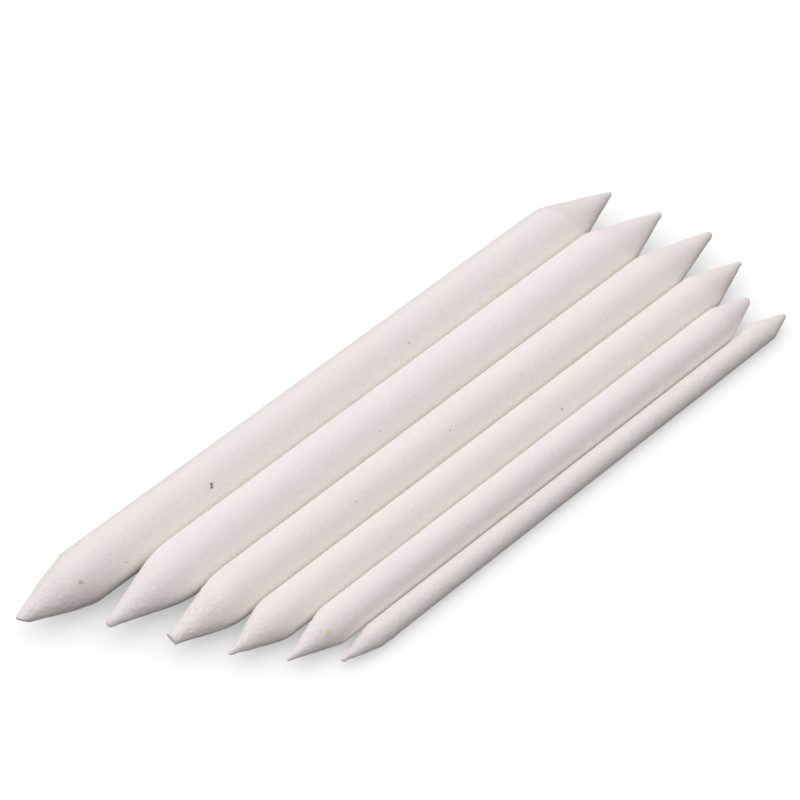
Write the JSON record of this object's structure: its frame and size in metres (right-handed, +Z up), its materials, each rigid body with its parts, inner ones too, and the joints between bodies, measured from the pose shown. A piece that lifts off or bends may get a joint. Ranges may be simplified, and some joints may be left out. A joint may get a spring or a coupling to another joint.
{
  "type": "blending stump set",
  "caption": "Double-ended paper blending stumps graded from thick to thin, lying side by side, each a tight paper roll with a lapped outer sheet and a ground cone at both ends.",
  "frame": {"origin": "centre of the row's footprint on the tabletop, z = 0 at the resting lines", "axes": "+X along the stumps towards their rear ends, +Y towards the thickest stump, +Z up"},
  "size_m": [0.188, 0.0618, 0.013],
  "materials": {
    "core_paper": "ground, felted soft paper",
    "wrap_paper": "smooth uncoated paper"
  },
  "bodies": {
    "stump6": {"stump6_core": "core_paper", "stump6_wrap": "wrap_paper"},
    "stump5": {"stump5_core": "core_paper", "stump5_wrap": "wrap_paper"},
    "stump4": {"stump4_core": "core_paper", "stump4_wrap": "wrap_paper"},
    "stump3": {"stump3_core": "core_paper", "stump3_wrap": "wrap_paper"},
    "stump2": {"stump2_core": "core_paper", "stump2_wrap": "wrap_paper"},
    "stump1": {"stump1_core": "core_paper", "stump1_wrap": "wrap_paper"}
  },
  "joints": [
    {"name": "stump5_lift", "type": "slide", "parent": "stump6", "child": "stump5", "axis": [0, 0, 1], "range_m": [0, 0.02]},
    {"name": "stump4_lift", "type": "slide", "parent": "stump6", "child": "stump4", "axis": [0, 0, 1], "range_m": [0, 0.02]},
    {"name": "stump3_lift", "type": "slide", "parent": "stump6", "child": "stump3", "axis": [0, 0, 1], "range_m": [0, 0.02]},
    {"name": "stump2_lift", "type": "slide", "parent": "stump6", "child": "stump2", "axis": [0, 0, 1], "range_m": [0, 0.02]},
    {"name": "stump1_lift", "type": "slide", "parent": "stump6", "child": "stump1", "axis": [0, 0, 1], "range_m": [0, 0.02]}
  ]
}
